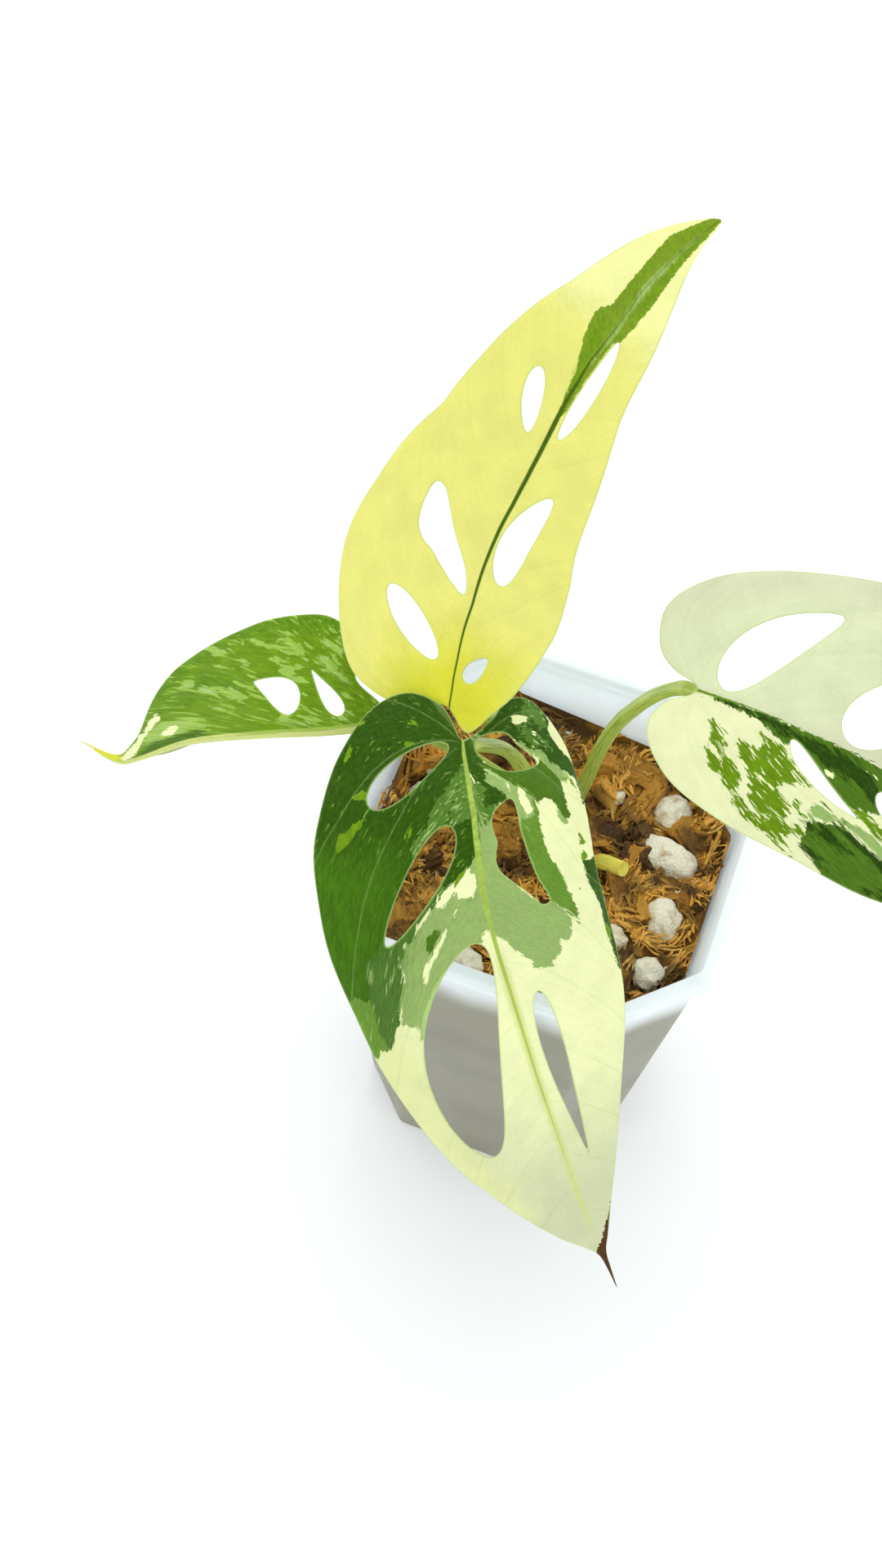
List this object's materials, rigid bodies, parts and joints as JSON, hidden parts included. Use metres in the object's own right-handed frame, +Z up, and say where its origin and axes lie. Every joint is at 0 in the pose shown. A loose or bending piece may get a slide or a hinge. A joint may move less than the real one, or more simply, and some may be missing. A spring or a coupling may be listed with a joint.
{
  "type": "potted monstera adansonii",
  "caption": "Young variegated monstera adansonii with holed, folded leaves on arching petioles, rooted in coco chips in a square plastic nursery pot.",
  "frame": {"origin": "centre of the pot's underside", "axes": "+Z up, -Y towards the side that the hanging leaf points to, +X towards the pale leaf that reaches to the right"},
  "size_m": [0.2404, 0.1326, 0.2462],
  "materials": {
    "pot_plastic": "milky, half clear, smooth",
    "coco_mix": "rough fibrous chips",
    "perlite": "matt, pitted",
    "stem_skin": "smooth green skin",
    "old_petiole": "dull yellow green",
    "leaf_cream": "waxy, cream yellow with a green patch",
    "leaf_green": "waxy, mid green with pale streaks",
    "leaf_mixed": "waxy, dark green, sage and cream",
    "leaf_pale": "waxy, cream with green splashes"
  },
  "bodies": {
    "root": {"Pot": "pot_plastic", "Substrate": "coco_mix", "Perlite_1": "perlite", "Perlite_2": "perlite", "Perlite_3": "perlite", "Perlite_4": "perlite", "Perlite_5": "perlite", "Perlite_6": "perlite", "Perlite_7": "perlite", "Stem": "stem_skin", "Old_Petiole_Stub": "old_petiole", "Leaf_Upright": "leaf_cream", "Leaf_Left": "leaf_green", "Leaf_Front": "leaf_mixed", "Leaf_Right": "leaf_pale"}
  },
  "joints": []
}
